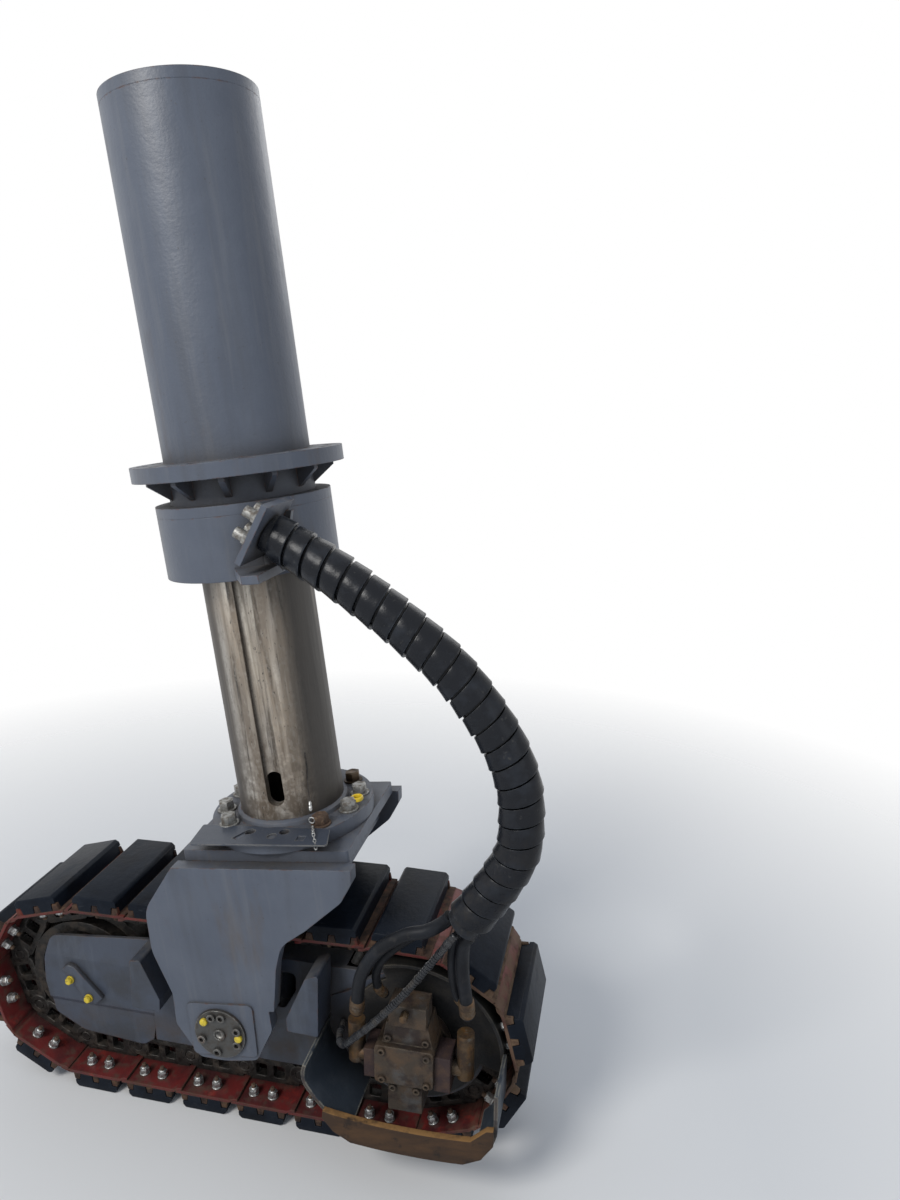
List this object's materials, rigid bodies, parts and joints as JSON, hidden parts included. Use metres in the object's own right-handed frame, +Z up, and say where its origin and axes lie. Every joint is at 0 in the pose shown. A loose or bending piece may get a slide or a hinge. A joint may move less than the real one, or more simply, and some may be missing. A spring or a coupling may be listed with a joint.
{
  "type": "crawler track unit with lifting column",
  "caption": "Steered crawler track with pads and hydraulic motor under a lifting column in its flanged guide sleeve, from a cold planer.",
  "frame": {"origin": "centre of the upper face of the frame flange, where the machine's frame is bolted on", "axes": "+Z up the column, +X along the track towards the drive end, -Y the outer side"},
  "size_m": [1.4199, 0.5049, 2.2121],
  "materials": {
    "painted_steel": "blue-grey satin paint with dirt, drips and worn edges",
    "bronze": "greasy bearing bronze",
    "bare_steel": "bare machined steel, dirty",
    "zinc": "zinc plated",
    "column_steel": "bare steel with brown grease streaks",
    "greasy_iron": "dark greasy iron",
    "rusty_iron": "rusty cast iron",
    "yellow_fitting": "yellow passivated steel with rust",
    "track_steel": "brick red paint, rust brown at the edges, greasy links",
    "pad_rubber": "dark charcoal polyurethane, scuffed",
    "hose_rubber": "black hose rubber",
    "black_plastic": "black plastic, slightly glossy"
  },
  "bodies": {
    "guide": {"guide_sleeve": "painted_steel", "guide_bush": "bronze", "guide_cap": "painted_steel"},
    "steering": {"steer_ring": "painted_steel", "ring_retainer": "painted_steel", "ring_key": "bare_steel", "hose_bracket": "painted_steel", "hose_couplings": "zinc"},
    "column_body": {"column": "column_steel", "column_band": "bronze", "foot_flange": "painted_steel", "top_plate": "painted_steel", "yoke_webs": "painted_steel", "outer_leg": "painted_steel", "inner_leg": "painted_steel", "pivot_pins": "bare_steel", "sheet_bracket": "painted_steel", "spiral_guard": "black_plastic"},
    "track_body": {"track_frame": "painted_steel", "outer_cover": "painted_steel", "inner_cover": "painted_steel", "stop_blocks": "painted_steel", "top_skid": "greasy_iron", "idler": "greasy_iron", "rollers": "greasy_iron", "sprocket": "greasy_iron", "final_drive": "greasy_iron", "drive_cowl": "painted_steel", "motor_body": "rusty_iron", "motor_ports": "rusty_iron", "port_elbows": "yellow_fitting", "motor_guard": "rusty_iron", "track_chain": "track_steel", "track_pads": "pad_rubber", "motor_hose_left": "hose_rubber", "motor_hose_right": "hose_rubber", "drain_hose": "hose_rubber", "brake_hose": "hose_rubber", "sensor_conduit": "black_plastic"}
  },
  "joints": [
    {"name": "steer", "type": "hinge", "parent": "guide", "child": "steering", "pos_m": [0, 0, 0], "axis": [0, 0, 1], "range_deg": [-25, 25]},
    {"name": "lift", "type": "slide", "parent": "steering", "child": "column_body", "axis": [0, 0, 1], "range_m": [-0.03, 0.38], "deforming": ["spiral_guard"]},
    {"name": "track_pitch", "type": "hinge", "parent": "column_body", "child": "track_body", "pos_m": [-0.16, 0, -1.205], "axis": [0, 1, 0], "range_deg": [-10, 12], "deforming": ["motor_hose_left", "motor_hose_right", "drain_hose", "brake_hose", "sensor_conduit"]}
  ]
}
